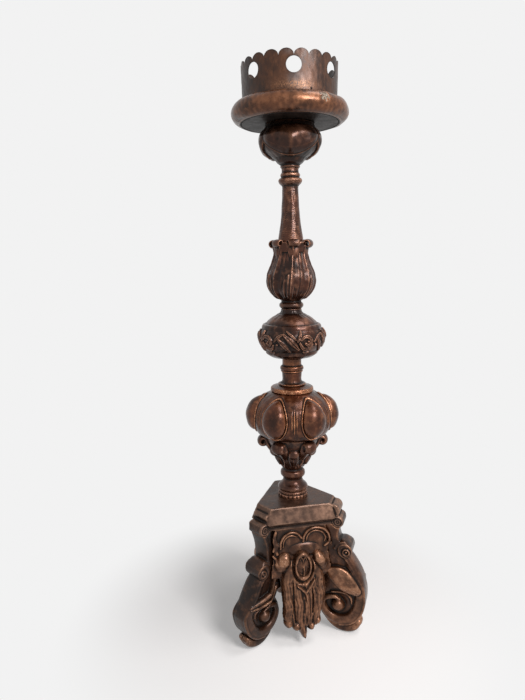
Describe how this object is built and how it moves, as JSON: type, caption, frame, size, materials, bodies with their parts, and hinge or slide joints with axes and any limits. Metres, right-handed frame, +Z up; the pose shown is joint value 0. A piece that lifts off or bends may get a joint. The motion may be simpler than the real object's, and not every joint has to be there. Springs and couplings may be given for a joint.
{
  "type": "torchere candle stand",
  "caption": "Carved baluster candle stand on a three-legged scroll base, with a drip pan, a pricket and a pierced scalloped sheet-metal gallery.",
  "frame": {"origin": "middle of the footprint's bounding box, on the floor; the stem's axis stands 20 mm in front of it (towards -Y)", "axes": "+Z up along the stem, -Y the way the front panel faces, +X to the viewer's right when looking at the front panel"},
  "size_m": [0.2594, 0.2371, 1],
  "materials": {
    "bronzed_wood": "carved wood with a worn bronze and gilt paint, satin",
    "dark_wood": "carved wood with a darkened bronze paint, satin",
    "bare_wood": "bare aged softwood, matt",
    "gallery_metal": "patinated bronze-coloured sheet metal, satin",
    "iron": "dark wrought iron"
  },
  "bodies": {
    "root": {"crown_gallery": "gallery_metal", "crown_tack_1": "iron", "crown_tack_2": "iron", "crown_tack_3": "iron", "pricket_spike": "iron", "drip_pan": "bronzed_wood", "calyx": "bronzed_wood", "upper_shaft": "bronzed_wood", "leaf_vase": "bronzed_wood", "carved_ball": "bronzed_wood", "neck_spool": "bronzed_wood", "gadrooned_bulb": "bronzed_wood", "lower_baluster": "bronzed_wood", "stem_foot_ring": "bronzed_wood", "base_cap": "dark_wood", "base_core": "bare_wood", "panel_front": "bronzed_wood", "panel_right": "bronzed_wood", "panel_left": "bronzed_wood", "leaf_drop_front": "bronzed_wood", "leaf_drop_right": "bronzed_wood", "leaf_drop_left": "bronzed_wood", "leg_right": "bronzed_wood", "leg_rear": "bronzed_wood", "leg_left": "bronzed_wood", "foot_pad_right": "bronzed_wood", "foot_pad_rear": "bronzed_wood", "foot_pad_left": "bronzed_wood"}
  },
  "joints": []
}
